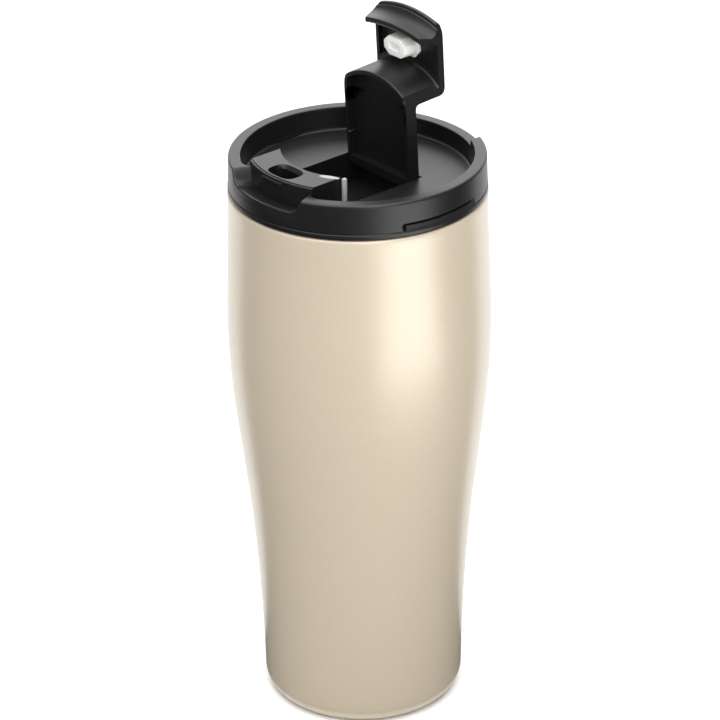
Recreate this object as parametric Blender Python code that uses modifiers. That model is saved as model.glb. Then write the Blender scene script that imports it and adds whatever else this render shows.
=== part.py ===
import math

import bmesh
import bpy

# Lengths are in millimetres here; the helpers turn them into metres.
# The spout points towards -Y, the hinge is behind it, and the base stands at Z = 0.
MM = 0.001
ROUND_STEPS = 60
SMALL_STEPS = 24

BODY_STATIONS = [
    (33.9, 6.6),
    (34.3, 23.0),
    (35.4, 45.0),
    (37.4, 69.0),
    (40.2, 93.0),
    (42.75, 116.0),
    (43.75, 138.0),
    (43.2, 160.0),
    (42.6, 178.0),
    (42.6, 185.2),
]
OUTSIDE_ROWS = 12
INSIDE_ROWS = 7
SHELL_WALL = 0.7
SHELL_FOOT_RADIUS = 29.7
SHELL_FOOT_LIP = 27.6
SHELL_FOOT_HEIGHT = 0.35
MOUTH_HEIGHT = 186.2
MOUTH_ROLL_RADIUS = 39.85

LINER_WALL = 0.5
LINER_GAP = 3.6
LINER_NECK_RADIUS = 39.4
LINER_NECK_BOTTOM = 168.0
LINER_BOTTOM = 11.0
LINER_CORNER = 5.0

COLLAR_RADIUS = 42.4
COLLAR_TOP = 188.1
COLLAR_UNDER = 186.5
COLLAR_BORE = 37.1
COLLAR_LEG_BOTTOM = 176.6

RIM_TOP = 198.3
RIM_OUTER = 42.0
RIM_INNER = 38.0
SKIRT_BOTTOM = 188.4
SKIRT_RADIUS = 42.3
DISH_TOP = 190.4
DISH_UNDER = 188.8
CHANNEL_TOP = 196.6
INFILL_HEIGHTS = (DISH_UNDER + 0.6, CHANNEL_TOP + 0.4)
REAR_RIM_TOP = 196.1
REAR_RIM_HALF = 17.0
REAR_FILL_HALF = 18.0
PRY_HALF = 15.0
PRY_DEPTH_X = 39.0
PRY_TOP = 191.2

SPOUT_TOP = 200.5
SPOUT_INNER = 25.0
SPOUT_OUTER = 35.8
SPOUT_HALF = 15.3
CATCH_RADIUS = 36.4
CATCH_HALF = 4.5
WING_HALF = 18.8
WING_INNER = 34.5
NOTCH_INNER = 35.4
NOTCH_FLOOR = 192.6
NOTCH_LIP = 193.9
NOTCH_HALF_LOW = 13.1
NOTCH_HALF_HIGH = 17.4
TAB_X = (16.1, 17.3)
TAB_Y = (-20.8, -18.9)
TAB_BOTTOM = 190.7
TAB_TOP = 200.6
DRINK_Y = -30.1
DRINK_SIZE = (12.0, 8.6)

PIT_HALF = 15.75
PIT_REAR = 14.4
PIT_FLOOR = 185.2
PIT_WALL = 1.3
PIT_FRONT_WALL = 1.0

HINGE_Y = 11.1
HINGE_Z = 188.3
HINGE_BORE = 1.3
PIN_RADIUS = 1.0
PIN_HALF = 17.5
BOSS_HALF = 18.6

INSERT_RADIUS = 36.4
INSERT_INNER = 34.0
INSERT_TOP = 188.4
INSERT_BOTTOM = 174.0
INSERT_FLOOR = 175.3
GROOVE = (180.0, 183.4)
GROOVE_RADIUS = 35.2
DUCT_Y = -30.6
DUCT_OUTER = (12.8, 8.4)
DUCT_BORE = (11.0, 6.8)
DUCT_TOP = 187.3
GASKET = (187.6, 188.5)
GASKET_Y = -30.1
GASKET_OUTER = (12.0, 7.4)
GASKET_BORE = (10.4, 6.0)

FLAP_OPEN_ANGLE = 87.0
FLAP_HALF = 15.2
FLAP_REACH = 24.6
PANEL_THICKNESS = 4.3
PANEL_FLOOR = 186.2
PANEL_WALL = 1.4
PANEL_RECESS = 2.1
RISER_INNER = 22.4
PLATE_UNDER = 200.8
PLATE_TOP = 203.2
PLATE_RECESS_TOP = 202.0
BARREL_RADIUS = 2.15
TIP_RADIUS = 43.0
HOOK_INNER = 37.8
HOOK_BOTTOM = 194.9
HOOK_HALF = 13.5
HOOK_CORNER = (194.8, 196.6)
HOOK_CORNER_START = -33.5
BOSS_UNDER = 199.4
PLUG_BASE = 199.1
PLUG_FRONT = 194.9


def clear_scene():
    for thing in list(bpy.data.objects):
        bpy.data.objects.remove(thing)


def new_collection(name):
    made = bpy.data.collections.new(name)
    bpy.context.scene.collection.children.link(made)
    return made


def new_material(name, colour, metallic, roughness):
    made = bpy.data.materials.new(name)
    made.use_nodes = True
    shader = made.node_tree.nodes["Principled BSDF"]
    shader.inputs["Base Color"].default_value = (*colour, 1.0)
    shader.inputs["Metallic"].default_value = metallic
    shader.inputs["Roughness"].default_value = roughness
    made.diffuse_color = (*colour, 1.0)
    return made


def new_object(name, vertices, edges=(), faces=()):
    mesh = bpy.data.meshes.new(name)
    scaled = [(x * MM, y * MM, z * MM) for x, y, z in vertices]
    mesh.from_pydata(scaled, list(edges), list(faces))
    thing = bpy.data.objects.new(name, mesh)
    bpy.context.scene.collection.objects.link(thing)
    return thing


def settle(thing):
    """The object's modifiers become its mesh, welded and facing out."""
    bpy.context.view_layer.update()
    graph = bpy.context.evaluated_depsgraph_get()
    mesh = bpy.data.meshes.new_from_object(thing.evaluated_get(graph))
    thing.modifiers.clear()
    thing.data = mesh
    work = bmesh.new()
    work.from_mesh(mesh)
    bmesh.ops.remove_doubles(work, verts=work.verts, dist=0.00002)
    bmesh.ops.recalc_face_normals(work, faces=work.faces)
    work.to_mesh(mesh)
    work.free()
    return thing


def turned(name, profile, steps=ROUND_STEPS):
    """A profile of (radius, height) pairs swept round Z. It is open where both ends lie on the axis."""
    open_ended = profile[0][0] == 0 and profile[-1][0] == 0
    count = len(profile)
    edges = [(i, i + 1) for i in range(count - 1)]
    if not open_ended:
        edges.append((count - 1, 0))
    thing = new_object(name, [(r, 0, z) for r, z in profile], edges)
    sweep = thing.modifiers.new("Sweep", "SCREW")
    sweep.axis = "Z"
    sweep.steps = steps
    sweep.render_steps = steps
    sweep.use_merge_vertices = True
    sweep.merge_threshold = 0.00001
    return settle(thing)


def box(name, x, y, z):
    corners = [(a, b, c) for a in x for b in y for c in z]
    sides = [(0, 1, 3, 2), (4, 6, 7, 5), (0, 4, 5, 1), (2, 3, 7, 6), (0, 2, 6, 4), (1, 5, 7, 3)]
    return settle(new_object(name, corners, (), sides))


def prism(name, outline, axis, start, end):
    """A flat outline pushed along one axis by the Solidify modifier."""
    place = {
        "x": lambda a, b: (start, a, b),
        "y": lambda a, b: (a, start, b),
        "z": lambda a, b: (a, b, start),
    }[axis]
    thing = new_object(name, [place(a, b) for a, b in outline], (), [tuple(range(len(outline)))])
    normal = thing.data.polygons[0].normal
    along = normal["xyz".index(axis)]
    depth = thing.modifiers.new("Depth", "SOLIDIFY")
    depth.thickness = abs(end - start) * MM
    depth.offset = 1.0 if along * (end - start) > 0 else -1.0
    return settle(thing)


def rod_along_x(name, radius, x_start, x_end, y, z, steps=SMALL_STEPS):
    turns = [2 * math.pi * i / steps for i in range(steps)]
    outline = [(y + radius * math.cos(a), z + radius * math.sin(a)) for a in turns]
    return prism(name, outline, "x", x_start, x_end)


def oval(width, depth, y, power=0.62, steps=28):
    """Outline of a rounded slot, squarer than an ellipse."""
    points = []
    for i in range(steps):
        turn = 2 * math.pi * (i + 0.5) / steps
        across = math.copysign(abs(math.cos(turn)) ** power, math.cos(turn))
        along = math.copysign(abs(math.sin(turn)) ** power, math.sin(turn))
        points.append((width / 2 * across, y + depth / 2 * along))
    return points


def combine(target, tool, operation):
    join = target.modifiers.new("Join", "BOOLEAN")
    join.operation = operation
    join.solver = "EXACT"
    join.object = tool
    settle(target)
    keep_tool(tool)
    return target


def keep_tool(tool):
    for owner in list(tool.users_collection):
        owner.objects.unlink(tool)
    tools.objects.link(tool)
    tool.hide_render = True
    tool.display_type = "WIRE"


def add(target, tool):
    return combine(target, tool, "UNION")


def cut(target, tool):
    return combine(target, tool, "DIFFERENCE")


def keep_inside(target, tool):
    return combine(target, tool, "INTERSECT")


def finish(thing, material, smooth=True):
    for owner in list(thing.users_collection):
        owner.objects.unlink(thing)
    mug.objects.link(thing)
    thing.data.materials.clear()
    thing.data.materials.append(material)
    if smooth:
        thing.data.shade_smooth()
        thing.data.set_sharp_from_angle(angle=math.radians(32))
    return thing


def body_radius(height):
    """The outer outline between its stations, as a Catmull-Rom curve."""
    last = len(BODY_STATIONS) - 2
    span = max(i for i in range(last + 1) if BODY_STATIONS[i][1] <= height or i == 0)
    low, high = BODY_STATIONS[span], BODY_STATIONS[span + 1]
    before = BODY_STATIONS[max(span - 1, 0)]
    after = BODY_STATIONS[min(span + 2, last + 1)]
    part = (height - low[1]) / (high[1] - low[1])
    width = high[1] - low[1]
    slope_low = (high[0] - before[0]) / (high[1] - before[1]) * width
    slope_high = (after[0] - low[0]) / (after[1] - low[1]) * width
    square = part * part
    cube = square * part
    return (
        (2 * cube - 3 * square + 1) * low[0]
        + (cube - 2 * square + part) * slope_low
        + (3 * square - 2 * cube) * high[0]
        + (cube - square) * slope_high
    )


def body_rows(low, high, count):
    return [high + (low - high) * i / (count - 1) for i in range(count)]


def foot_arc(outer, count=4):
    """The rounding of the foot, from the wall down to the lip, on its outer or inner side."""
    bottom, side = BODY_STATIONS[0][1], BODY_STATIONS[0][0]
    inset = 0 if outer else SHELL_WALL
    points = []
    for i in range(1, count + 1):
        turn = math.pi / 2 * i / count
        radius = SHELL_FOOT_RADIUS + (side - inset - SHELL_FOOT_RADIUS) * math.cos(turn)
        height = bottom - (bottom - SHELL_FOOT_HEIGHT - inset) * math.sin(turn)
        points.append((radius, height))
    return points


def make_outer_shell(paint):
    low, high = BODY_STATIONS[0][1], BODY_STATIONS[-1][1]
    outside = [(body_radius(z), z) for z in body_rows(low, high, OUTSIDE_ROWS)]
    rows = body_rows(low, high, INSIDE_ROWS)
    inside = [(body_radius(z) - SHELL_WALL, z) for z in reversed(rows)]
    profile = [(MOUTH_ROLL_RADIUS, MOUTH_HEIGHT), (41.8, MOUTH_HEIGHT), (42.4, 185.9)]
    profile += outside + foot_arc(True)
    profile += [
        (SHELL_FOOT_LIP, SHELL_FOOT_HEIGHT),
        (SHELL_FOOT_LIP, SHELL_FOOT_HEIGHT + SHELL_WALL),
    ]
    profile += list(reversed(foot_arc(False)))
    profile += inside[:-1]
    profile += [(41.6, MOUTH_HEIGHT - SHELL_WALL), (MOUTH_ROLL_RADIUS, MOUTH_HEIGHT - SHELL_WALL)]
    return finish(turned("outer_shell", profile), paint)


def liner_profile(inset):
    """The liner's outline on one side, from the mouth down to the axis."""
    points = [(LINER_NECK_RADIUS - inset, MOUTH_HEIGHT)]
    points.append((LINER_NECK_RADIUS - inset, LINER_NECK_BOTTOM))
    bottom = LINER_BOTTOM + inset
    start = LINER_BOTTOM + LINER_CORNER
    for height in body_rows(start, 158.0, INSIDE_ROWS):
        points.append((body_radius(height) - LINER_GAP - inset, height))
    side = points[-1][0]
    for i in (1, 2, 3):
        turn = math.pi / 6 * i
        radius = side - LINER_CORNER * (1 - math.cos(turn))
        points.append((radius, start - (start - bottom) * math.sin(turn)))
    points.append((0, bottom))
    return points


def make_inner_liner(steel):
    outside = liner_profile(0)
    inside = liner_profile(LINER_WALL)
    return finish(turned("inner_liner", list(reversed(outside)) + inside), steel)


def make_base(steel, paint, glass, getter_metal, rubber):
    plate = [
        (1.0, 7.4),
        (4.6, 7.4),
        (6.2, 5.9),
        (31.4, 5.9),
        (32.3, 8.4),
        (32.9, 8.2),
        (31.9, 5.2),
        (6.0, 5.2),
        (4.4, 6.7),
        (1.0, 6.7),
    ]
    finish(turned("base_plate", plate), steel)
    bead = [(0, 6.35), (2.2, 6.35), (2.6, 6.0), (1.8, 5.5), (0, 5.35)]
    finish(turned("port_seal", bead, SMALL_STEPS), glass)
    clip = [
        (0, 8.1),
        (5.9, 8.1),
        (6.3, 8.4),
        (6.3, 10.3),
        (8.4, 10.3),
        (8.4, 10.7),
        (5.9, 10.7),
        (5.9, 8.5),
        (0, 8.5),
    ]
    finish(turned("getter_clip", clip, SMALL_STEPS), steel)
    pellet = [(0, 10.4), (5.1, 10.4), (5.4, 10.1), (5.4, 9.1), (5.1, 8.8), (0, 8.8)]
    finish(turned("getter", pellet, SMALL_STEPS), getter_metal)
    cap = [(0, 2.1), (29.2, 2.1), (29.8, 3.2), (30.4, 3.1), (29.8, 1.6), (29.3, 1.4), (0, 1.4)]
    finish(turned("base_cap", cap), paint)
    pad = [(0, 1.05), (27.0, 1.05), (27.2, 0.85), (27.2, 0.25), (26.9, 0), (20.0, 0), (19.6, 0.4), (0, 0.4)]
    finish(turned("foot_pad", pad), rubber)


def make_collar(black, silicone):
    profile = [
        (COLLAR_RADIUS - 0.2, COLLAR_TOP),
        (COLLAR_RADIUS, COLLAR_TOP - 0.2),
        (COLLAR_RADIUS, COLLAR_UNDER + 0.2),
        (COLLAR_RADIUS - 0.2, COLLAR_UNDER),
        (41.1, COLLAR_UNDER),
        (41.1, 187.3),
        (39.6, 187.3),
        (39.6, COLLAR_UNDER),
        (38.5, COLLAR_UNDER),
        (38.5, COLLAR_LEG_BOTTOM + 0.4),
        (38.1, COLLAR_LEG_BOTTOM),
        (COLLAR_BORE + 0.3, COLLAR_LEG_BOTTOM),
        (COLLAR_BORE, COLLAR_LEG_BOTTOM + 0.4),
        (COLLAR_BORE, COLLAR_TOP - 0.3),
        (COLLAR_BORE + 0.3, COLLAR_TOP),
    ]
    finish(turned("mouth_collar", profile), black)
    gasket = [(40.8, 187.0), (40.8, 186.5), (39.9, 186.5), (39.9, 187.0)]
    finish(turned("collar_gasket", gasket), silicone)


def ring_piece(name, inner, outer, low, high, x, y):
    """Part of a flat-topped ring, kept within a box."""
    ring = turned(name, [(outer, high), (outer, low), (inner, low), (inner, high)])
    return keep_inside(ring, box(name + "_limits", x, y, (low - 1, high + 1)))


def lid_outline():
    return [
        (0, DISH_TOP - 0.1),
        (36.3, DISH_TOP),
        (37.2, DISH_TOP + 0.8),
        (RIM_INNER - 0.1, RIM_TOP - 0.5),
        (RIM_INNER + 0.3, RIM_TOP),
        (RIM_OUTER - 0.5, RIM_TOP),
        (RIM_OUTER, RIM_TOP - 0.5),
        (SKIRT_RADIUS, SKIRT_BOTTOM),
        (SKIRT_RADIUS - 1.6, SKIRT_BOTTOM),
        (40.5, CHANNEL_TOP),
        (39.3, CHANNEL_TOP),
        (38.6, DISH_UNDER + 0.6),
        (37.8, DISH_UNDER),
        (0, DISH_UNDER),
    ]


def add_spout(lid):
    block = ring_piece(
        "spout_block",
        SPOUT_INNER,
        SPOUT_OUTER,
        DISH_UNDER,
        SPOUT_TOP,
        (-SPOUT_HALF, SPOUT_HALF),
        (-50, 0),
    )
    wings = ring_piece(
        "spout_wings", WING_INNER, 39.0, DISH_UNDER + 0.3, RIM_TOP, (-WING_HALF, WING_HALF), (-50, 0)
    )
    infill = ring_piece(
        "notch_infill", 35.0, 41.2, *INFILL_HEIGHTS, (-19.5, 19.5), (-50, 0)
    )
    add(lid, wings)
    add(lid, infill)
    notch = turned(
        "finger_notch",
        [(NOTCH_INNER, 206), (44.5, 206), (44.5, NOTCH_LIP + 0.5), (NOTCH_INNER, NOTCH_FLOOR)],
    )
    slope = (NOTCH_HALF_HIGH - NOTCH_HALF_LOW) / (RIM_TOP - NOTCH_LIP)
    wide = NOTCH_HALF_HIGH + slope * 7.0
    narrow = NOTCH_HALF_LOW - slope * 2.5
    sides = [(-narrow, NOTCH_LIP - 2.5), (narrow, NOTCH_LIP - 2.5), (wide, RIM_TOP + 7), (-wide, RIM_TOP + 7)]
    keep_inside(notch, prism("notch_sides", sides, "y", -50, 0))
    cut(lid, notch)
    add(lid, block)
    catch = ring_piece(
        "catch_ridge", 35.0, CATCH_RADIUS, RIM_TOP + 0.2, RIM_TOP + 1.2, (-CATCH_HALF, CATCH_HALF), (-50, 0)
    )
    add(lid, catch)


def add_pit(lid):
    tub = turned(
        "pit_walls",
        [
            (0, DISH_TOP - 0.5),
            (SPOUT_INNER + PIT_FRONT_WALL, DISH_TOP - 0.5),
            (SPOUT_INNER + PIT_FRONT_WALL, PIT_FLOOR - PIT_WALL),
            (0, PIT_FLOOR - PIT_WALL),
        ],
    )
    outer_half = PIT_HALF + PIT_WALL
    rear = PIT_REAR + PIT_WALL
    keep_inside(tub, box("pit_limits", (-outer_half, outer_half), (-40, rear), (180, 195)))
    add(lid, tub)
    boss_y = (HINGE_Y - 2.8, HINGE_Y + 2.8)
    for side in (-1, 1):
        reach = sorted((side * (PIT_HALF + 0.5), side * BOSS_HALF))
        add(lid, box(f"hinge_boss_{side}", reach, boss_y, (PIT_FLOOR - 0.6, DISH_TOP - 0.6)))
    hollow = turned("pit_hollow", [(0, 207), (SPOUT_INNER, 207), (SPOUT_INNER, PIT_FLOOR), (0, PIT_FLOOR)])
    keep_inside(hollow, box("pit_sides", (-PIT_HALF, PIT_HALF), (-40, PIT_REAR), (180, 210)))
    cut(lid, hollow)
    half = PIN_HALF + 0.4
    cut(lid, rod_along_x("hinge_bore", HINGE_BORE, -half, half, HINGE_Y, HINGE_Z))


def make_lid(black):
    lid = turned("lid_shell", lid_outline())
    rear = ring_piece(
        "rear_infill", 38.4, 41.2, *INFILL_HEIGHTS, (-REAR_FILL_HALF, REAR_FILL_HALF), (0, 50)
    )
    add(lid, rear)
    step = (-REAR_RIM_HALF, REAR_RIM_HALF)
    cut(lid, box("rear_step", step, (28, 50), (REAR_RIM_TOP, 210)))
    for side in (-1, 1):
        reach = sorted((side * PRY_DEPTH_X, side * 46))
        cut(lid, box(f"pry_notch_{side}", reach, (-PRY_HALF, PRY_HALF), (SKIRT_BOTTOM - 1, PRY_TOP)))
    add_spout(lid)
    add_pit(lid)
    cut(lid, prism("drink_hole", oval(*DRINK_SIZE, DRINK_Y), "z", 180, 206))
    return finish(lid, black)


def make_insert(black, silicone):
    profile = [
        (0, INSERT_FLOOR),
        (INSERT_INNER - 1.0, INSERT_FLOOR),
        (INSERT_INNER, INSERT_FLOOR + 1.0),
        (INSERT_INNER, INSERT_TOP),
        (INSERT_RADIUS, INSERT_TOP),
        (INSERT_RADIUS, GROOVE[1]),
        (GROOVE_RADIUS, GROOVE[1]),
        (GROOVE_RADIUS, GROOVE[0]),
        (INSERT_RADIUS, GROOVE[0]),
        (INSERT_RADIUS, INSERT_BOTTOM + 1.2),
        (INSERT_RADIUS - 1.2, INSERT_BOTTOM),
        (0, INSERT_BOTTOM),
    ]
    insert = turned("lid_insert", profile)
    add(insert, prism("duct_wall", oval(*DUCT_OUTER, DUCT_Y), "z", INSERT_FLOOR - 0.6, DUCT_TOP))
    cut(insert, prism("duct_bore", oval(*DUCT_BORE, DUCT_Y), "z", INSERT_BOTTOM - 2, INSERT_TOP + 2))
    finish(insert, black)
    low, high = GROOVE[0] + 0.3, GROOVE[1] - 0.3
    middle = (low + high) / 2
    seal = [
        (36.3, high),
        (36.8, high - 0.5),
        (36.5, middle),
        (36.8, low + 0.5),
        (36.3, low),
        (35.5, low),
        (35.5, high),
    ]
    finish(turned("lid_seal", seal), silicone)
    gasket = prism("drink_gasket", oval(*GASKET_OUTER, GASKET_Y), "z", *GASKET)
    cut(gasket, prism("gasket_bore", oval(*GASKET_BORE, GASKET_Y), "z", GASKET[0] - 1, GASKET[1] + 1))
    finish(gasket, silicone)


def make_vent_tab(silicone):
    """The upright tab beside the spout block's inner corner, with a rounded top."""
    middle, half = sum(TAB_Y) / 2, (TAB_Y[1] - TAB_Y[0]) / 2
    top = [math.pi * i / 6 for i in range(7)]
    outline = [(middle + half * math.cos(a), TAB_TOP - half + half * math.sin(a)) for a in top]
    outline += [(TAB_Y[0], TAB_BOTTOM), (TAB_Y[1], TAB_BOTTOM)]
    finish(prism("vent_tab", outline, "x", *TAB_X), silicone)


def flap_outline():
    """The flap's cross-section from the riser to the hook, for the closed flap."""
    low = PANEL_FLOOR
    panel_top = low + PANEL_THICKNESS
    return [
        (20.2, panel_top),
        (20.2, low),
        (FLAP_REACH, low),
        (FLAP_REACH, PLATE_UNDER),
        (HOOK_INNER, PLATE_UNDER),
        (HOOK_INNER, HOOK_BOTTOM + 0.5),
        (HOOK_INNER + 0.3, HOOK_BOTTOM),
        (39.0, HOOK_BOTTOM),
        (39.5, HOOK_BOTTOM + 0.6),
        (39.6, 197.0),
        (40.4, 199.6),
        (41.6, 201.2),
        (TIP_RADIUS - 0.2, 201.9),
        (TIP_RADIUS, 202.3),
        (TIP_RADIUS - 0.5, PLATE_TOP),
        (24.6, PLATE_TOP),
        (23.0, PLATE_TOP - 0.6),
        (RISER_INNER, PLATE_TOP - 2.2),
        (RISER_INNER, panel_top + 2.0),
        (21.7, panel_top + 0.5),
    ]


def make_flap(black, silicone, steel):
    limits = (-FLAP_HALF, FLAP_HALF)
    flap = turned("flap", flap_outline())
    keep_inside(flap, box("flap_sides", limits, (-50, 0), (180, 210)))
    panel_top = PANEL_FLOOR + PANEL_THICKNESS
    reach = FLAP_REACH - 0.4
    panel = turned("flap_panel", [(0, panel_top), (reach, panel_top), (reach, PANEL_FLOOR), (0, PANEL_FLOOR)])
    keep_inside(panel, box("panel_sides", limits, (-40, HINGE_Y), (180, 210)))
    add(flap, panel)
    add(flap, rod_along_x("flap_barrel", BARREL_RADIUS, *limits, HINGE_Y, HINGE_Z))
    inner = FLAP_HALF - PANEL_WALL
    hollow_reach = FLAP_REACH - PANEL_WALL
    hollow = turned(
        "panel_recess",
        [
            (0, PANEL_FLOOR + PANEL_RECESS),
            (hollow_reach, PANEL_FLOOR + PANEL_RECESS),
            (hollow_reach, PANEL_FLOOR - 2),
            (0, PANEL_FLOOR - 2),
        ],
    )
    keep_inside(hollow, box("recess_sides", (-inner, inner), (-40, HINGE_Y - 3.4), (180, 210)))
    cut(flap, hollow)
    under = ring_piece(
        "plate_recess", 26.2, HOOK_INNER - 0.6, PLATE_UNDER - 1, PLATE_RECESS_TOP, (-inner, inner), (-50, 0)
    )
    cut(flap, under)
    for side in (-1, 1):
        low, high = HOOK_CORNER
        slope = [(HOOK_HALF, low - 1), (HOOK_HALF, low), (FLAP_HALF, high), (18, high), (18, low - 1)]
        corner = [(side * x, z) for x, z in slope]
        cut(flap, prism(f"hook_corner_{side}", corner, "y", HOOK_CORNER_START, -50))
    add(flap, prism("plug_boss", oval(10.4, 6.2, DRINK_Y - 0.4), "z", BOSS_UNDER, PLATE_RECESS_TOP + 0.4))
    cut(flap, rod_along_x("flap_bore", HINGE_BORE, -20, 20, HINGE_Y, HINGE_Z))
    finish(flap, black)
    plug = make_plug(silicone)
    pin = rod_along_x("hinge_pin", PIN_RADIUS, -PIN_HALF, PIN_HALF, HINGE_Y, HINGE_Z)
    finish(pin, steel)
    open_on_hinge((flap, plug, pin))


def make_plug(silicone):
    """The silicone plug, narrower at its free end on the hinge side."""
    count = 28
    wide = oval(11.3, 7.6, DRINK_Y - 0.2, steps=count)
    narrow = oval(10.6, 6.0, DRINK_Y - 0.75, steps=count)
    rings = [
        [(x, y, PLUG_BASE) for x, y in wide],
        [(x, y, PLUG_FRONT) for x, y in narrow],
    ]
    vertices = rings[0] + rings[1]
    sides = [(i, (i + 1) % count, count + (i + 1) % count, count + i) for i in range(count)]
    caps = [tuple(range(count)), tuple(reversed(range(count, 2 * count)))]
    plug = settle(new_object("flap_plug", vertices, (), sides + caps))
    y_middle = DRINK_Y - 0.75
    cut(plug, box("plug_dimple", (-2.8, 2.8), (y_middle - 1.3, y_middle + 1.3), (190, PLUG_FRONT + 0.9)))
    return finish(plug, silicone)


def open_on_hinge(pieces):
    """Each piece takes its origin on the hinge axis and swings up round it."""
    for piece in pieces:
        for vertex in piece.data.vertices:
            vertex.co.y -= HINGE_Y * MM
            vertex.co.z -= HINGE_Z * MM
        piece.location = (0, HINGE_Y * MM, HINGE_Z * MM)
        piece.rotation_euler = (-math.radians(FLAP_OPEN_ANGLE), 0, 0)


clear_scene()
mug = new_collection("insulated_travel_mug")
tools = new_collection("shaping_tools")
champagne = new_material("champagne_paint", (0.62, 0.53, 0.41), 0.6, 0.35)
steel_metal = new_material("brushed_steel", (0.55, 0.55, 0.54), 1.0, 0.3)
black_plastic = new_material("black_plastic", (0.02, 0.02, 0.021), 0.0, 0.38)
white_silicone = new_material("white_silicone", (0.72, 0.72, 0.71), 0.0, 0.5)
black_rubber = new_material("black_rubber", (0.025, 0.025, 0.025), 0.0, 0.8)
solder_glass = new_material("solder_glass", (0.1, 0.11, 0.12), 0.0, 0.2)
sintered_metal = new_material("sintered_metal", (0.3, 0.29, 0.28), 1.0, 0.7)

make_outer_shell(champagne)
make_inner_liner(steel_metal)
make_base(steel_metal, champagne, solder_glass, sintered_metal, black_rubber)
make_collar(black_plastic, white_silicone)
make_lid(black_plastic)
make_insert(black_plastic, white_silicone)
make_vent_tab(white_silicone)
make_flap(black_plastic, white_silicone, steel_metal)
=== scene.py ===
import math

import bmesh
import bpy
from mathutils import Matrix, Vector


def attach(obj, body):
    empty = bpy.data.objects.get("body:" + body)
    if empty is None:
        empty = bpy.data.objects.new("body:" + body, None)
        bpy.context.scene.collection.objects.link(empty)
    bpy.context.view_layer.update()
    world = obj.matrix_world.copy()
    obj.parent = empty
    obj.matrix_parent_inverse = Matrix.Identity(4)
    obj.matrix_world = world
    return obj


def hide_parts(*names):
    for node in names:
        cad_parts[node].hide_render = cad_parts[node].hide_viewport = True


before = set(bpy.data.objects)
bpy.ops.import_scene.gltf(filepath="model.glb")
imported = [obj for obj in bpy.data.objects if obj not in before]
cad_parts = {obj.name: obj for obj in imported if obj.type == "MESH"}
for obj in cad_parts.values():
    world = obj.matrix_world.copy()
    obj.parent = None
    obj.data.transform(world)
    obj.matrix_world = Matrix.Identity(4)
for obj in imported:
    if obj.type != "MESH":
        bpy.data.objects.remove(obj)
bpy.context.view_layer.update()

# Shapes are worked out in millimetres: +Z is up, the spout points to -Y.
weld = 0.0005  # points nearer than this become one
hingeY, hingeZ = 11.1, 188.3
hinge = Vector((0, hingeY, hingeZ))
openDegrees = 87  # the flap is shaped closed, then turned to where it rests
openTurn = (Matrix.Translation(hinge) @ Matrix.Rotation(math.radians(-openDegrees), 4, "X")
            @ Matrix.Translation(-hinge))


def smoothStep(value, low, high):
    part = min(max((value - low) / (high - low), 0.0), 1.0)
    return part * part * (3 - 2 * part)


def roundCorner(x, low, high):
    # 1 up to low, then a quarter circle that runs out flat at high
    part = min(max((high - x) / (high - low), 0.0), 1.0)
    return 1.0 if x <= low else 1 - math.sqrt(1 - part * part)


def rounded(corners, pieces=4, closed=True):
    # corners are (across, height, radius); each becomes a curve of about that radius
    points = []
    count = len(corners)
    for index, (x, z, radius) in enumerate(corners):
        if radius == 0 or (not closed and index in (0, count - 1)):
            points.append((x, z))
            continue
        here = Vector((x, z))
        before = Vector(corners[index - 1][:2]) - here
        after = Vector(corners[(index + 1) % count][:2]) - here
        reach = radius / math.tan(before.angle(after) / 2)
        reach = min(reach, before.length * 0.49, after.length * 0.49)
        start = here + before.normalized() * reach
        end = here + after.normalized() * reach
        for step in range(pieces + 1):
            t = step / pieces
            points.append(tuple((1 - t) ** 2 * start + 2 * t * (1 - t) * here + t * t * end))
    return points


def divided(points, longest, closed=False):
    # long straight stretches get points between their ends
    result = []
    count = len(points)
    for index in range(count if closed else count - 1):
        start, end = Vector(points[index]), Vector(points[(index + 1) % count])
        parts = max(1, math.ceil((end - start).length / longest))
        result += [tuple(start.lerp(end, part / parts)) for part in range(parts)]
    if not closed:
        result.append(points[-1])
    return result


def spun(points, steps, closed=True):
    bm = bmesh.new()
    verts = [bm.verts.new((x, 0, z)) for x, z in points]
    for index in range(len(verts) if closed else len(verts) - 1):
        bm.edges.new((verts[index], verts[(index + 1) % len(verts)]))
    bmesh.ops.spin(bm, geom=bm.verts[:] + bm.edges[:], cent=(0, 0, 0), axis=(0, 0, 1),
                   angle=2 * math.pi, steps=steps, use_merge=True)
    bmesh.ops.remove_doubles(bm, verts=bm.verts, dist=weld)
    bmesh.ops.recalc_face_normals(bm, faces=bm.faces)
    return bm


def pushed(outline, low, high):
    # a flat outline in X and Y drawn up into a solid
    bm = bmesh.new()
    face = bm.faces.new([bm.verts.new((x, y, low)) for x, y in outline])
    grown = bmesh.ops.extrude_face_region(bm, geom=[face])
    top = [item for item in grown["geom"] if isinstance(item, bmesh.types.BMVert)]
    bmesh.ops.translate(bm, verts=top, vec=(0, 0, high - low))
    bmesh.ops.recalc_face_normals(bm, faces=bm.faces)
    return bm


def block(low, high):
    outline = [(low[0], low[1]), (high[0], low[1]), (high[0], high[1]), (low[0], high[1])]
    return pushed(outline, low[2], high[2])


def addBall(bm, place, sizes, degrees=0.0, segments=24, rings=16):
    # a small flattened ball, added as a closed part of its own
    ball = bmesh.new()
    bmesh.ops.create_uvsphere(ball, u_segments=segments, v_segments=rings, radius=1)
    ball.transform(Matrix.Translation(place) @ Matrix.Rotation(math.radians(degrees), 4, "Z")
                   @ Matrix.Diagonal((*sizes, 1)))
    mesh = bpy.data.meshes.new("ball")
    ball.to_mesh(mesh)
    ball.free()
    bm.from_mesh(mesh)
    bpy.data.meshes.remove(mesh)


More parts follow.
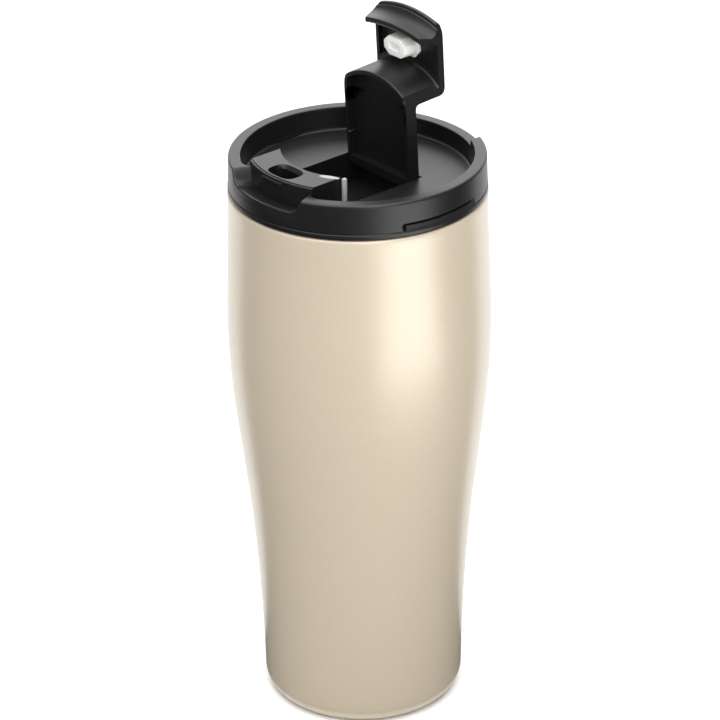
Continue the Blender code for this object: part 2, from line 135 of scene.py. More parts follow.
def soften(bm, offset, segments=3, degrees=30, where=None):
    bm.normal_update()
    edges = []
    for edge in bm.edges:
        if len(edge.link_faces) != 2 or edge.calc_face_angle(0) < math.radians(degrees):
            continue
        if where is None or where((edge.verts[0].co + edge.verts[1].co) / 2):
            edges.append(edge)
    if edges:
        bmesh.ops.bevel(bm, geom=edges, offset=offset, offset_type="OFFSET", segments=segments,
                        profile=0.5, affect="EDGES", clamp_overlap=True, material=-1)
    return bm


def toObject(name, bm):
    bm.transform(Matrix.Scale(0.001, 4))
    mesh = bpy.data.meshes.new(name)
    bm.to_mesh(mesh)
    bm.free()
    made = bpy.data.objects.new(name, mesh)
    bpy.context.scene.collection.objects.link(made)
    return made


def combine(target, toolMesh, operation):
    tool = toObject("tool", toolMesh)
    join = target.modifiers.new("join", "BOOLEAN")
    join.operation = operation
    join.solver = "EXACT"
    join.object = tool
    bpy.context.view_layer.update()
    graph = bpy.context.evaluated_depsgraph_get()
    mesh = bpy.data.meshes.new_from_object(target.evaluated_get(graph))
    target.modifiers.clear()
    target.data = mesh
    bpy.data.objects.remove(tool)


def reworked(target):
    # the object's mesh as a bmesh in millimetres, welded again after the cuts
    bm = bmesh.new()
    bm.from_mesh(target.data)
    bm.transform(Matrix.Scale(1000, 4))
    bmesh.ops.remove_doubles(bm, verts=bm.verts, dist=4 * weld)
    return bm


def putBack(target, bm):
    bm.transform(Matrix.Scale(0.001, 4))
    bm.to_mesh(target.data)
    bm.free()


def finishPiece(made, material, body, replaced, sharp=38, even=False):
    made.data.materials.clear()
    made.data.materials.append(material)
    made.data.shade_smooth()
    made.data.set_sharp_from_angle(angle=math.radians(sharp))
    if even:  # large flat faces keep their flat shading beside small rounded edges
        level = made.modifiers.new("evenShading", "WEIGHTED_NORMAL")
        level.keep_sharp = True
    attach(made, body)
    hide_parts(*replaced)


def slotOutline(width, depth, y, power=0.62, steps=48):
    # a rounded oblong; a smaller power makes it squarer
    points = []
    for index in range(steps):
        turn = 2 * math.pi * (index + 0.5) / steps
        across = math.copysign(abs(math.cos(turn)) ** power, math.cos(turn))
        along = math.copysign(abs(math.sin(turn)) ** power, math.sin(turn))
        points.append((width / 2 * across, y + depth / 2 * along))
    return points


def octagonOutline(half, depth, y, cut=2.5, side=1.4):
    corners = [(half, -side), (half, side), (half - cut, depth), (cut - half, depth),
               (-half, side), (-half, -side), (cut - half, -depth), (half - cut, -depth)]
    return [(x, y + along) for x, along in corners]


def arcOutline(inner, outer, half, steps=40):
    # a ring sector on the spout side, with sides parallel to Y
    points = []
    for index in range(steps + 1):
        x = half * (2 * index / steps - 1)
        points.append((x, -math.sqrt(outer * outer - x * x)))
    for index in range(steps + 1):
        x = half * (1 - 2 * index / steps)
        points.append((x, -math.sqrt(inner * inner - x * x)))
    return points


def pitOutline(half, rear, front, steps=32):
    # square at the hinge end, and round at the spout end
    across = [half * (2 * index / steps - 1) for index in range(steps + 1)]
    return [(x, -math.sqrt(front * front - x * x)) for x in across] + [(half, rear), (-half, rear)]


def linear(colourHex):
    values = [int(colourHex[place:place + 2], 16) / 255 for place in (1, 3, 5)]
    return (*[v / 12.92 if v <= 0.04045 else ((v + 0.055) / 1.055) ** 2.4 for v in values], 1)


def addNode(tree, kind, settings, links):
    node = tree.nodes.new(kind)
    for name, value in settings.items():
        node.inputs[name].default_value = value
    for name, source in links.items():
        tree.links.new(source, node.inputs[name])
    return node


def newMaterial(name, finish):
    # two tones mixed by a fine noise, with the same noise in roughness and relief
    material = bpy.data.materials.new(name)
    material.use_nodes = True
    tree = material.node_tree
    shader = tree.nodes["Principled BSDF"]
    for socket, value in finish["shader"].items():
        shader.inputs[socket].default_value = value
    place = addNode(tree, "ShaderNodeTexCoord", {}, {})
    stretch = addNode(tree, "ShaderNodeMapping", {"Scale": finish.get("stretch", (1, 1, 1))},
                      {"Vector": place.outputs["Object"]})
    grain = addNode(tree, "ShaderNodeTexNoise",
                    {"Scale": 1000 / finish["grainMm"], "Detail": 3, "Roughness": 0.55},
                    {"Vector": stretch.outputs["Vector"]})
    tones = addNode(tree, "ShaderNodeValToRGB", {}, {"Fac": grain.outputs["Fac"]})
    for stop, position, tone in zip(tones.color_ramp.elements, (0.35, 0.65), finish["tones"]):
        stop.position = position
        stop.color = linear(tone)
    tree.links.new(tones.outputs["Color"], shader.inputs["Base Color"])
    low, high = finish["roughness"]
    gloss = addNode(tree, "ShaderNodeMapRange", {"To Min": low, "To Max": high},
                    {"Value": grain.outputs["Fac"]})
    tree.links.new(gloss.outputs["Result"], shader.inputs["Roughness"])
    relief = addNode(tree, "ShaderNodeBump",
                     {"Strength": finish["relief"], "Distance": finish["reliefMm"] / 1000},
                     {"Height": grain.outputs["Fac"]})
    tree.links.new(relief.outputs["Normal"], shader.inputs["Normal"])
    return material


# Champagne enamel sprayed on steel, with a little metal flake under a satin clear coat:
# broad soft highlights and a very slight orange peel.
bodyEnamel = newMaterial("sprayedChampagneEnamel", {
    "shader": {"Metallic": 0.15, "Coat Weight": 0.5, "Coat Roughness": 0.3},
    "tones": ("#b5a995", "#bbaf9b"), "roughness": (0.32, 0.38),
    "grainMm": 0.45, "relief": 0.06, "reliefMm": 0.02,
})
# Injection-moulded polypropylene from a spark-eroded mould: near black, satin, finely pebbled.
lidPolypropylene = newMaterial("mouldedBlackPolypropylene", {
    "shader": {"Metallic": 0.0, "IOR": 1.49},
    "tones": ("#0e0e0f", "#131314"), "roughness": (0.34, 0.44),
    "grainMm": 0.5, "relief": 0.1, "reliefMm": 0.015,
})
# Compression-moulded food silicone: soft white, slightly blotched, with a dull bloom.
whiteSilicone = newMaterial("mouldedWhiteSilicone", {
    "shader": {"Metallic": 0.0, "IOR": 1.41, "Sheen Weight": 0.1},
    "tones": ("#d2d2cf", "#d8d8d5"), "roughness": (0.48, 0.54),
    "grainMm": 0.9, "relief": 0.04, "reliefMm": 0.01,
})
# The white silicone again, painted grey as painted shade for the tab that stands in the pit's shade: it
# stays quiet beside the black lid.
paintedShadeSilicone = newMaterial("mouldedSiliconePaintedShade", {
    "shader": {"Metallic": 0.0, "IOR": 1.41},
    "tones": ("#a3a3a1", "#ababa9"), "roughness": (0.45, 0.5),
    "grainMm": 0.9, "relief": 0.04, "reliefMm": 0.01,
})
# Drawn stainless steel, brushed on a lathe: level streaks that follow the round wall. The streaks are
# drawn coarser than real ones, which would be too fine to see.
linerSteel = newMaterial("latheBrushedStainlessSteel", {
    "shader": {"Metallic": 1.0},
    "tones": ("#a9a8a4", "#bdbcb8"), "roughness": (0.2, 0.34), "stretch": (0.05, 0.05, 1),
    "grainMm": 0.5, "relief": 0.1, "reliefMm": 0.01,
})
# Vulcanised rubber with a dusting of talc: black, dull, slightly mottled.
footRubber = newMaterial("vulcanisedBlackRubber", {
    "shader": {"Metallic": 0.0, "IOR": 1.52},
    "tones": ("#1b1b1b", "#232322"), "roughness": (0.7, 0.85),
    "grainMm": 0.7, "relief": 0.2, "reliefMm": 0.03,
})
# Fused solder glass: dark, glossy, with small flow marks.
solderGlass = newMaterial("fusedSolderGlass", {
    "shader": {"Metallic": 0.0, "IOR": 1.6},
    "tones": ("#24282b", "#343a3d"), "roughness": (0.08, 0.16),
    "grainMm": 1.2, "relief": 0.2, "reliefMm": 0.03,
})
# Sintered getter alloy: pressed grains of grey metal, quite matt.
getterAlloy = newMaterial("sinteredGetterAlloy", {
    "shader": {"Metallic": 1.0},
    "tones": ("#6f6d6a", "#8d8a86"), "roughness": (0.55, 0.75),
    "grainMm": 0.3, "relief": 0.5, "reliefMm": 0.05,
})
print("materials made")

# these pieces keep their shapes from the frame and only get a finish
for material, nodeNames in (
    (linerSteel, ("inner_liner", "base_plate", "getter_clip", "hinge_pin")),
    (getterAlloy, ("getter",)),
    (solderGlass, ("port_seal",)),
    (bodyEnamel, ("base_cap",)),
    (footRubber, ("foot_pad",)),
    (whiteSilicone, ("collar_gasket", "drink_gasket")),
):
    for nodeName in nodeNames:
        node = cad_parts[nodeName]
        node.data.materials.clear()
        node.data.materials.append(material)

vesselSizes = {
    # (radius, height) where the wall's curve passes, from the foot to the shoulder
    "stations": [(33.9, 6.6), (34.3, 23.0), (35.4, 45.0), (37.4, 69.0), (40.2, 93.0), (42.75, 116.0),
                 (43.75, 138.0), (43.2, 160.0), (42.6, 178.0), (42.6, 185.2)],
    "wall": 0.7, "mouth": 186.2, "mouthInner": 39.85,
    "footRadius": 29.7, "footLip": 27.6, "footHeight": 0.35, "footRows": 12,
    "rows": 90, "steps": 288,
}
collarSizes = {"outer": 42.45, "top": 188.33, "stepHalf": 14.2, "stepLow": 187.5, "stepTop": 190.15}


def wallRadius(height):
    # a smooth curve through the stations, whose slopes come from each one's neighbours
    stations = vesselSizes["stations"]
    span = max(i for i in range(len(stations) - 1) if stations[i][1] <= height or i == 0)
    low, high = stations[span], stations[span + 1]
    before, after = stations[max(span - 1, 0)], stations[min(span + 2, len(stations) - 1)]
    t = (height - low[1]) / (high[1] - low[1])
    width = high[1] - low[1]
    slopeLow = (high[0] - before[0]) / (high[1] - before[1]) * width
    slopeHigh = (after[0] - low[0]) / (after[1] - low[1]) * width
    return ((2 * t ** 3 - 3 * t ** 2 + 1) * low[0] + (t ** 3 - 2 * t ** 2 + t) * slopeLow
            + (3 * t ** 2 - 2 * t ** 3) * high[0] + (t ** 3 - t ** 2) * slopeHigh)


def makeShell():
    sizes = vesselSizes
    wall, mouth, foot, floor = sizes["wall"], sizes["mouth"], sizes["footRadius"], sizes["footHeight"]
    edge, low = sizes["stations"][0]
    high = sizes["stations"][-1][1]
    rows = [high + (low - high) * index / (sizes["rows"] - 1) for index in range(sizes["rows"])]
    outside = [(sizes["mouthInner"], mouth), (41.75, mouth), (42.2, 186.05), (42.5, 185.7)]
    outside += [(wallRadius(z), z) for z in rows]
    for index in range(1, sizes["footRows"] + 1):
        turn = math.pi / 2 * index / sizes["footRows"]
        outside.append((foot + (edge - foot) * math.cos(turn), low - (low - floor) * math.sin(turn)))
    outside.append((sizes["footLip"], floor))
    inside = [(sizes["footLip"], floor + wall), (foot, floor + wall), (32.4, 3.0), (33.2, low)]
    inside += [(wallRadius(z) - wall, z) for z in reversed(rows[2:-1:4])]
    inside += [(41.5, mouth - wall), (sizes["mouthInner"], mouth - wall)]
    shell = toObject("paintedShell", spun(outside + inside, sizes["steps"]))
    finishPiece(shell, bodyEnamel, "vessel", ["outer_shell"])
    print("shell made")


def makeCollar():
    sizes = collarSizes
    outer, top = sizes["outer"], sizes["top"]
    profile = rounded([(outer, top, 0.5), (outer, 186.5, 0.35), (41.1, 186.5, 0), (41.1, 187.3, 0),
                       (39.6, 187.3, 0), (39.6, 186.5, 0), (38.5, 186.5, 0), (38.5, 176.6, 0.4),
                       (37.1, 176.6, 0.4), (37.1, 188.1, 0.4)])
    ring = toObject("mouthCollarRing", spun(profile, vesselSizes["steps"]))
    topEdge = lambda at: at.z > sizes["stepTop"] - 0.15
    for side in (90, -90):  # a raised stretch fills most of each pry notch
        step = pushed(arcOutline(39.7, 42.35, sizes["stepHalf"], 24), sizes["stepLow"], sizes["stepTop"])
        soften(step, 0.45, where=topEdge)
        step.transform(Matrix.Rotation(math.radians(side), 4, "Z"))
        combine(ring, step, "UNION")
    finishPiece(ring, lidPolypropylene, "vessel", ["mouth_collar"])
    print("collar made")


lidSizes = {
    "dish": 190.4, "under": 188.9, "floorEdge": 33.0, "rimTop": 198.3, "rimOuter": 42.0,
    "skirtLow": 188.4, "skirtOuter": 42.3, "steps": 720, "longest": 0.6,
    "grooveInner": 38.5, "grooveOuter": 41.0, "grooveTop": 191.45,  # the groove over the collar
    # the finger notch on the spout side: how far the rim comes down, where in degrees, and its lean
    "notchDrop": 5.6, "notchEven": 18.3, "notchBend": 21.0, "notchEnd": 24.3, "notchEase": 0.18,
    "notchLean": 1.2, "leanInner": 36.2, "nubHeight": 0.22, "nubWidth": 0.45, "nubInner": 41.2,
    # the web inside the notch: how deep it is, how wide, and the radii between which it stands
    "webDepth": 3.1, "webHalf": 15.9, "webEnd": 19.6, "webFull": 37.2, "wallInner": 38.4, "webOuter": 41.5,
    # the lower stretch of rim behind the hinge, and the notches that a thumb pries on
    "rearDrop": 2.2, "rearHalf": 17.0, "rearSlope": 0.15, "rearInner": 37.0,
    "pryFlat": 39.0, "pryTop": 190.9, "pryDegrees": 21.0, "pryInner": 40.0,
    "spoutInner": 25.0, "spoutHalf": 15.3, "spoutTop": 200.5,
    "pitHalf": 15.6, "pitRear": 14.2, "pitFloor": 179.6, "pitWall": 1.3,
    "bossLow": (16.3, 8.3, 184.7), "bossHigh": (18.6, 13.9, 189.7), "pinBore": 1.3, "pinLength": 35.8,
    "holeWidth": 11.8, "holeDepth": 8.5, "holeY": -30.15, "holeChamfer": 1.15,
}


def notchShare(degrees):
    # 1 in the bottom of the finger notch, 0 on the full rim
    sizes = lidSizes
    even, turnUp, ease = sizes["notchEven"], sizes["notchBend"], sizes["notchEase"]
    if degrees < even:
        return 1.0
    if degrees < turnUp:
        return 1.0 - ease * (degrees - even) / (turnUp - even)
    return (1 - ease) * (1 - smoothStep(degrees, turnUp, sizes["notchEnd"]))


def sunk(z, drop):
    # the rim's top comes down whole, and the walls under it shorten
    wallLow, wallTop = 190.95, 196.9
    if z >= wallTop:
        return z - drop
    return wallLow + (z - wallLow) * (1 - drop / (wallTop - wallLow)) if z > wallLow else z


def cutNotch(x, y, z, radius):
    # the finger notch, its webs and the moulding nub in the middle of its lip
    sizes = lidSizes
    edge, wall, webOuter = sizes["floorEdge"], sizes["wallInner"], sizes["webOuter"]
    rim, leanInner = sizes["rimOuter"], sizes["leanInner"]
    web = sizes["webDepth"] * roundCorner(abs(x), sizes["webHalf"], sizes["webEnd"])
    if radius < wall:
        radius -= web * min(1.0, (radius - edge) / (sizes["webFull"] - edge))
    elif z > 196:
        radius -= web * max(0.0, (webOuter - radius) / (webOuter - wall))
    share = notchShare(math.degrees(math.atan2(abs(x), -y)))
    lean = sizes["notchLean"] * (min(radius, rim) - leanInner) / (rim - leanInner)
    z = sunk(z, share * (sizes["notchDrop"] - lean))
    if radius > sizes["nubInner"] and z > 192 and share > 0.99:
        z += sizes["nubHeight"] * math.exp(-(x / sizes["nubWidth"]) ** 2)
    return z, radius


def shapeRim(bm):
    sizes = lidSizes
    edge, rearHalf, slope = sizes["floorEdge"], sizes["rearHalf"], sizes["rearSlope"]
    for vert in bm.verts:
        x, y, z = vert.co
        radius = math.hypot(x, y)
        turn = math.atan2(y, x)
        inGroove = sizes["grooveInner"] < radius < sizes["grooveOuter"] and z < sizes["grooveTop"]
        under = inGroove or (radius < sizes["grooveOuter"] and z < sizes["under"] + 0.01)
        if y < 0 and not under:
            z, radius = cutNotch(x, y, z, radius)
        if y > 0 and not under and radius > sizes["rearInner"]:
            z = sunk(z, sizes["rearDrop"] * (1 - smoothStep(abs(x), rearHalf - slope, rearHalf + slope)))
        side = math.degrees(math.atan2(abs(y), abs(x)))
        inSkirt = radius > sizes["pryInner"] and z < sizes["pryTop"]
        if side < sizes["pryDegrees"] and (under or inSkirt):
            limit = sizes["pryFlat"] / math.cos(math.radians(side))
            radius = edge + (radius - edge) * (limit - edge) / (sizes["skirtOuter"] - edge)
        vert.co = (radius * math.cos(turn), radius * math.sin(turn), z)
    return bm


def makeRim():
    # rim, dish and skirt are one turned profile, shaped round its edge afterwards
    sizes = lidSizes
    edge, dish, under, low = sizes["floorEdge"], sizes["dish"], sizes["under"], sizes["skirtLow"]
    top, rim, skirt = sizes["rimTop"], sizes["rimOuter"], sizes["skirtOuter"]
    outline = rounded([(edge, dish, 0), (37.35, dish, 0.9), (38.0, top, 0.4), (rim, top, 0.75),
                       (42.23, 190.98, 0), (42.23, 190.84, 0), (skirt, low, 0.1), (40.9, low, 0.1),
                       (40.7, 191.4, 0), (39.0, 191.4, 0), (38.7, under, 0), (edge, under, 0)],
                      closed=False)
    ring = shapeRim(spun(divided(outline, sizes["longest"]), sizes["steps"], closed=False))
    bmesh.ops.holes_fill(ring, edges=[e for e in ring.edges if e.is_boundary], sides=0)
    bmesh.ops.recalc_face_normals(ring, faces=ring.faces)
    return toObject("lidTop", ring)


def addPitAndSpout(lid):
    sizes = lidSizes
    half, rear, floor = sizes["pitHalf"], sizes["pitRear"], sizes["pitFloor"]
    inner, spout, top = sizes["spoutInner"], sizes["spoutHalf"], sizes["spoutTop"]
    wall = sizes["pitWall"]
    tub = pushed(pitOutline(half + wall, rear + wall, inner + 1.0), floor - wall, sizes["dish"] - 0.6)
    combine(lid, tub, "UNION")
    (bossNear, *bossLow), (bossFar, *bossHigh) = sizes["bossLow"], sizes["bossHigh"]
    for sign in (-1, 1):
        left, right = sorted((sign * bossNear, sign * bossFar))
        combine(lid, block((left, *bossLow), (right, *bossHigh)), "UNION")
    body = pushed(arcOutline(inner, 35.8, spout), sizes["dish"] - 0.7, 200.22)
    combine(lid, soften(body, 0.3, where=lambda at: at.z > 190), "UNION")
    cap = pushed(arcOutline(inner, 35.05, spout), 199.9, top)
    combine(lid, soften(cap, 0.16, where=lambda at: at.z > 200), "UNION")
    ridge = pushed(arcOutline(34.9, 36.45, 4.5, 12), 198.6, 199.5)  # what the flap's hook snaps over
    combine(lid, soften(ridge, 0.2), "UNION")
    combine(lid, pushed(pitOutline(half, rear, inner), floor, 199.0), "DIFFERENCE")


def drillLid(lid):
    sizes = lidSizes
    bore = bmesh.new()
    bmesh.ops.create_cone(bore, cap_ends=True, segments=32, radius1=sizes["pinBore"],
                          radius2=sizes["pinBore"], depth=sizes["pinLength"],
                          matrix=Matrix.Translation(hinge) @ Matrix.Rotation(math.pi / 2, 4, "Y"))
    combine(lid, bore, "DIFFERENCE")
    for low, high in ((187.5, 199.3), (199.3, 200.6)):
        hole = pushed(slotOutline(sizes["holeWidth"], sizes["holeDepth"], sizes["holeY"]), low, high)
        for vert in hole.verts:
            if vert.co.z < 200 and vert.co.y > -30.1:  # the edge towards the pit is a broad chamfer
                vert.co.y -= sizes["holeChamfer"] * min(1.0, (vert.co.y + 30.1) / 2)
        combine(lid, hole, "DIFFERENCE")


def makeLid():
    lid = makeRim()
    addPitAndSpout(lid)
    drillLid(lid)
    onPit = lambda at: abs(at.z - lidSizes["dish"]) < 0.02 and abs(at.x) < 15.8 and -24.9 < at.y < 14.6
    onHole = lambda at: (at.z > 200.4 and abs(at.x) < 6.1 and -34.6 < at.y < -24.8
                         and math.hypot(at.x, at.y) > 25.3)
    bm = reworked(lid)
    soften(bm, 0.18, 2, 60, onPit)
    soften(bm, 0.3, 3, 40, onHole)
    putBack(lid, bm)
    finishPiece(lid, lidPolypropylene, "lid", ["lid_shell"], 32, True)
    print("lid made")


insertSizes = {"outer": 36.4, "inner": 34.0, "groove": 35.2, "top": 188.4, "bottom": 174.0, "wall": 1.3,
               "ductY": -30.6, "steps": 288}


def makeInsert():
    # the cup-shaped plug under the lid, with a groove for its seal and a duct under the drink hole
    sizes = insertSizes
    outer, inner, top, bottom = sizes["outer"], sizes["inner"], sizes["top"], sizes["bottom"]
    groove, ductY = sizes["groove"], sizes["ductY"]
    floor = bottom + sizes["wall"]
    profile = rounded([(0, floor, 0), (inner, floor, 1.0), (inner, top, 0.2), (outer, top, 0.2),
                       (outer, 183.4, 0.2), (groove, 183.4, 0.2), (groove, 180.0, 0.2),
                       (outer, 180.0, 0.2), (outer, bottom, 1.3), (0, bottom, 0)], closed=False)
    plug = toObject("insertPlug", spun(profile, sizes["steps"], closed=False))
    combine(plug, pushed(slotOutline(12.8, 8.4, ductY), floor - 0.6, 187.3), "UNION")
    combine(plug, pushed(slotOutline(11.0, 6.8, ductY), bottom - 2, 190), "DIFFERENCE")
    finishPiece(plug, lidPolypropylene, "lid", ["lid_insert"], 32, True)
    # the seal has two soft lips
    seal = rounded([(36.3, 183.1, 0.1), (36.8, 182.5, 0.3), (36.45, 181.7, 0.4), (36.8, 180.9, 0.3),
                    (36.3, 180.3, 0.1), (35.5, 180.3, 0), (35.5, 183.1, 0)])
    ring = toObject("lidSealRing", spun(seal, sizes["steps"]))
    finishPiece(ring, whiteSilicone, "lid", ["lid_seal"])
    print("insert and seal made")


tabSizes = {
    "centre": (16.75, -19.9), "low": (16.0, -21.15, 190.7), "high": (17.5, -18.75, 200.6),
    "taper": (0.85, 0.6), "slope": 0.7,
    # the bead on the block's corner is a painted highlight
    "bead": (12.6, -22.7, 200.45), "beadSizes": (3.5, 1.05, 0.27), "beadDegrees": 29,
}


def makeVentTab():
    # an upright silicone strip beside the spout block, and a flat light bead on the block's inner corner
    # that is a painted highlight of its rounded edge
    sizes = tabSizes
    x, y = sizes["centre"]
    strip = block(sizes["low"], sizes["high"])
    for vert in strip.verts:
        if vert.co.z < sizes["high"][2]:
            vert.co.x = x + (vert.co.x - x) * sizes["taper"][0]
            vert.co.y = y + (vert.co.y - y) * sizes["taper"][1]
        elif vert.co.y < y:
            vert.co.z -= sizes["slope"]
    soften(strip, 0.3)
    # the bead is a painted highlight of the block's rounded inner corner
    addBall(strip, sizes["bead"], sizes["beadSizes"], sizes["beadDegrees"], 48, 24)
    tab = toObject("ventTab", strip)
    # the tab's grey is painted shade on white silicone
    finishPiece(tab, paintedShadeSilicone, "lid", ["vent_tab"])
    print("vent tab made")


flapSizes = {
    "half": 15.2, "barrel": 2.15, "panelUnder": 186.2, "panelTop": 190.5, "panelWall": 1.35,
    "panelRecess": 2.9, "plateUnder": 200.8, "plateTop": 203.2, "plateRecess": 1.25,
    "hookLow": 194.7, "hookHalf": 12.9, "hookFrom": 36.9, "longest": 1.4, "columns": 44,
    # place and half sizes of the small moulded nubs on the panel's walls
    "nubs": (((-13.75, 0.65, 186.35), (0.6, 0.6, 0.55)), ((-13.8, 0.65, 187.8), (0.42, 0.42, 1.5)),
             ((14.15, -18.2, 186.6), (0.75, 1.1, 0.7))),
}


def flapOutline():
    # the closed flap seen from the side: distance towards the spout, height and corner radius
    sizes = flapSizes
    under, low, plate, top = sizes["panelUnder"], sizes["hookLow"], sizes["plateUnder"], sizes["plateTop"]
    barrel = []
    for degrees in range(90, 271, 20):
        turn = math.radians(degrees)
        barrel.append((-hingeY + sizes["barrel"] * math.cos(turn),
                       hingeZ + sizes["barrel"] * math.sin(turn), 0))
    return barrel + [
        (-9.0, under, 0), (23.2, under, 0), (24.6, under, 0.45), (24.6, plate, 0.9),
        (26.2, plate, 0), (sizes["hookFrom"], plate, 0), (37.5, plate, 0.7),
        (37.05, low, 0.8), (39.0, low, 0.7), (39.3, 196.6, 0), (39.6, 198.1, 0), (40.3, 199.5, 0),
        (41.3, 200.7, 0), (41.9, 201.15, 0.1), (42.0, 201.6, 0.15), (42.75, 201.75, 0.3),
        (43.0, 202.2, 0.2), (42.9, top, 0.45), (22.4, top, 2.2), (22.4, sizes["panelTop"], 1.4),
    ]


def drawnAcross(outline, xs):
    # the side outline drawn across in columns, closed at both ends
    bm = bmesh.new()
    first = bm.faces.new([bm.verts.new((xs[0], -along, z)) for along, z in outline])
    edges = list(first.edges)
    for before, after in zip(xs, xs[1:]):
        grown = bmesh.ops.extrude_edge_only(bm, edges=edges)
        moved = [item for item in grown["geom"] if isinstance(item, bmesh.types.BMVert)]
        known = set(moved)
        edges = [item for item in grown["geom"] if isinstance(item, bmesh.types.BMEdge)
                 and all(vert in known for vert in item.verts)]
        bmesh.ops.translate(bm, verts=moved, vec=(after - before, 0, 0))
    bmesh.ops.contextual_create(bm, geom=edges)
    bmesh.ops.recalc_face_normals(bm, faces=bm.faces)
    return bm


def pushIn(bm, chosen, rise):
    faces = [face for face in bm.faces if chosen(face.calc_center_median())]
    grown = bmesh.ops.extrude_face_region(bm, geom=faces)
    bmesh.ops.delete(bm, geom=faces, context="FACES_ONLY")
    verts = [item for item in grown["geom"] if isinstance(item, bmesh.types.BMVert)]
    bmesh.ops.translate(bm, verts=verts, vec=(0, 0, rise))


def narrowed(width, start, end, along, loss):
    # a rounded corner: full width at start, and less by loss where the curve ends
    part = (along - start) / (end - start)
    return width - loss + loss * math.sqrt(max(0.0, 1 - part ** 2))


def bend(bm):
    # the flat section curves round the mug's axis towards the spout side
    sizes = flapSizes
    half, low = sizes["half"], sizes["hookLow"]
    for vert in bm.verts:
        x, y, z = vert.co
        along = -y
        width = half
        if z > 199.5 and along > 40:
            width = narrowed(half, 40, 43.02, along, 2.4)
        if along > sizes["hookFrom"] and z < 198.3:
            width = min(width, sizes["hookHalf"] + (z - low) * 0.6)
        if z < 199.0 and 22.0 < along < 25:
            width = narrowed(half, 22.0, 24.62, along, 1.6)
        x *= width / half
        weight = smoothStep(along, 4, 22)
        if along > 37 and z < sizes["plateUnder"]:
            weight = 0.55 + 0.45 * (z - low) / 6.1  # the hook's lower edge is straighter
        sag = along - math.sqrt(max(along * along - x * x, 0.0)) if along > 16 else 0.0
        vert.co = (x, -(along - weight * sag), z)
    bm.normal_update()


def makeFlap():
    sizes = flapSizes
    half, wall, count = sizes["half"], sizes["panelWall"], sizes["columns"]
    inner = half - wall
    outline = divided(rounded(flapOutline()), sizes["longest"], closed=True)
    columns = {round(inner * (2 * index / count - 1), 4) for index in range(count + 1)}
    bm = drawnAcross(outline, sorted({-half, half, -half + wall, inner} | columns))
    underPanel = lambda at: (abs(at.z - sizes["panelUnder"]) < 0.01 and abs(at.x) < inner
                             and -23.2 < at.y < 9.0)
    underPlate = lambda at: (abs(at.z - sizes["plateUnder"]) < 0.01 and abs(at.x) < inner
                             and -sizes["hookFrom"] < at.y < -26.2)
    pushIn(bm, underPanel, sizes["panelRecess"])
    pushIn(bm, underPlate, sizes["plateRecess"])
    bend(bm)
    soften(bm, 0.35, 3, 40)
    for place, nubSizes in sizes["nubs"]:
        addBall(bm, place, nubSizes)
    bm.transform(openTurn)
    flap = toObject("flapCover", bm)
    finishPiece(flap, lidPolypropylene, "flap", ["flap"], 32, True)
    print("flap made")


plugSizes = {
    "flange": (5.9, 4.2, -30.5), "flangeLow": 200.72, "flangeTop": 202.0,
    "stem": (5.4, 3.6, -30.65), "stemLow": 195.4, "stemTop": 201.2, "taper": (0.95, 0.93),
    "dimple": (5.4, 2.6, -30.85, 0.45, 28), "dimpleTop": 196.0,
}


def makePlug():
    sizes = plugSizes
    flange = pushed(octagonOutline(*sizes["flange"]), sizes["flangeLow"], sizes["flangeTop"])
    stem = pushed(octagonOutline(*sizes["stem"]), sizes["stemLow"], sizes["stemTop"])
    centre = sizes["stem"][2]
    for vert in stem.verts:
        if vert.co.z < 196:
            vert.co.x *= sizes["taper"][0]
            vert.co.y = centre - 0.1 + (vert.co.y - centre) * sizes["taper"][1]
    soften(stem, 0.45, 4, 30, lambda at: at.z < 201)
    plug = toObject("drinkPlug", soften(flange, 0.3))
    combine(plug, stem, "UNION")
    dimple = pushed(slotOutline(*sizes["dimple"]), 193, sizes["dimpleTop"])
    combine(plug, soften(dimple, 0.2, 2, 40, lambda at: at.z > 195), "DIFFERENCE")
    bm = reworked(plug)
    bm.transform(openTurn)
    putBack(plug, bm)
    finishPiece(plug, whiteSilicone, "flap", ["flap_plug"])
    print("plug made")


makeShell()
makeCollar()
makeLid()
makeInsert()
makeVentTab()
makeFlap()
makePlug()

studio = {
    "camera": {"place": (0.8047, -0.6873, 0.6659), "lens": 178.3,
               "turn": -40.5019, "rise": 27.1744, "roll": -0.6786},
    "front": -40.5,  # degrees round the mug to its front, from which the lights are placed
    "lights": {
        # name: degrees from the front, elevation, distance, width, height, brightness
        "topSoftbox": (180, 80, 1.5, 1.8, 1.6, 2.4),
        "overheadSoftbox": (0, 60, 1.4, 1.6, 1.1, 3.0),
        "backSoftbox": (178, 24, 1.7, 2.4, 1.1, 2.2),
        "keyStrip": (14, 20, 1.3, 0.5, 1.3, 3.3),
        "fillSoftbox": (-50, 25, 1.3, 0.8, 1.0, 1.3),
    },
    "lowStrip": (42, 0.5, 0.46, 0.34, 4.6),  # degrees, distance, width, height, brightness
    "ambient": 0.2,
    # the card paints dark reflections on the mug and shows in nothing else
    "card": {"near": 35.0, "far": 1600.0, "degrees": 118, "pieces": 48, "tone": "#242424"},
    "paperTones": ("#f4f4f3", "#f8f8f7"), "paperSize": 4000,
}


def paperMaterial(name, tones):
    # uncoated paper: dead matt, with hardly any grain
    return newMaterial(name, {
        "shader": {"Specular IOR Level": 0.1}, "tones": tones, "roughness": (0.9, 0.96),
        "grainMm": 3.0, "relief": 0.05, "reliefMm": 0.02,
    })


def makeFloor():
    paper = bmesh.new()
    bmesh.ops.create_grid(paper, x_segments=8, y_segments=8, size=studio["paperSize"])
    floor = toObject("paperFloor", paper)
    floor.data.materials.append(paperMaterial("matSeamlessPaper", studio["paperTones"]))


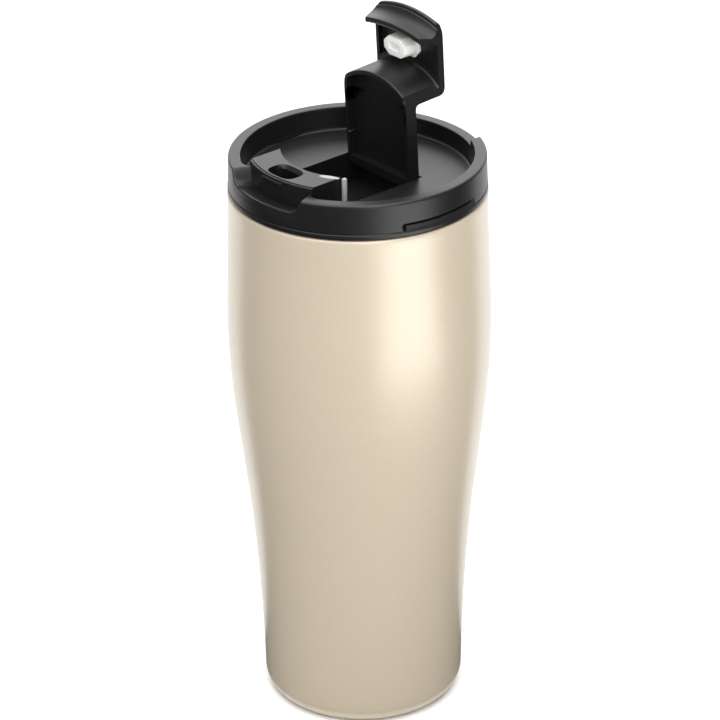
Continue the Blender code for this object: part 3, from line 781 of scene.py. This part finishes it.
def makePaintedReflectionCard():
    # a dark card lies in front of the mug as a painted dark reflection on its wall and skirt; only
    # reflections show it, so the floor looks plain
    sizes = studio["card"]
    near, far, count = sizes["near"], sizes["far"], sizes["pieces"]
    turns = [math.radians(studio["front"] + sizes["degrees"] * (2 * i / count - 1))
             for i in range(count + 1)]
    card = bmesh.new()
    inner = [card.verts.new((near * math.cos(turn), near * math.sin(turn), 1)) for turn in turns]
    outer = [card.verts.new((far * math.cos(turn), far * math.sin(turn), 1)) for turn in turns]
    for index in range(count):
        card.faces.new((inner[index], outer[index], outer[index + 1], inner[index + 1]))
    made = toObject("paintedReflectionCard", card)
    made.data.materials.append(paperMaterial("matPaintedReflectionCard", (sizes["tone"], sizes["tone"])))
    made.visible_camera = False
    made.visible_shadow = False
    made.visible_diffuse = False


def makeLamp(name, width, height, brightness):
    light = bpy.data.lights.new(name, "AREA")
    light.shape = "RECTANGLE"
    light.size, light.size_y = width, height
    light.energy = brightness * math.pi * width * height  # the same brightness at any size
    lamp = bpy.data.objects.new(name, light)
    bpy.context.scene.collection.objects.link(lamp)
    return lamp


def makeLights():
    aim = Vector((0, 0, 0.12))
    for name, (degrees, elevation, distance, width, height, brightness) in studio["lights"].items():
        turn, rise = math.radians(studio["front"] + degrees), math.radians(elevation)
        away = Vector((math.cos(turn) * math.cos(rise), math.sin(turn) * math.cos(rise), math.sin(rise)))
        lamp = makeLamp(name, width, height, brightness)
        lamp.location = aim + away * distance
        lamp.rotation_euler = (-away).to_track_quat("-Z", "Y").to_euler()
    # a strip light lies on the floor and gives the wall and skirt their upright sheen
    degrees, distance, width, height, brightness = studio["lowStrip"]
    turn = math.radians(studio["front"] + degrees)
    strip = makeLamp("lowStrip", width, height, brightness)
    strip.location = (distance * math.cos(turn), distance * math.sin(turn), 0.004)
    strip.rotation_euler = (math.pi, 0, turn)
    strip.visible_camera = False
    world = bpy.data.worlds.new("studioAir")
    world.use_nodes = True
    background = world.node_tree.nodes["Background"]
    background.inputs["Color"].default_value = (1, 1, 1, 1)
    background.inputs["Strength"].default_value = studio["ambient"]
    bpy.context.scene.world = world


def makeCamera():
    sizes = studio["camera"]
    turn, rise, roll = [math.radians(sizes[key]) for key in ("turn", "rise", "roll")]
    camera = bpy.data.objects.new("camera", bpy.data.cameras.new("camera"))
    camera.data.lens = sizes["lens"]
    camera.data.sensor_width = 36
    camera.data.clip_end = 20
    bpy.context.scene.collection.objects.link(camera)
    camera.matrix_world = (Matrix.Translation(sizes["place"]) @ Matrix.Rotation(turn + math.pi / 2, 4, "Z")
                           @ Matrix.Rotation(math.pi / 2 - rise, 4, "X") @ Matrix.Rotation(roll, 4, "Z"))
    bpy.context.scene.camera = camera
    bpy.context.scene.view_settings.view_transform = "Standard"


makeFloor()
makePaintedReflectionCard()
makeLights()
makeCamera()
print("studio made")
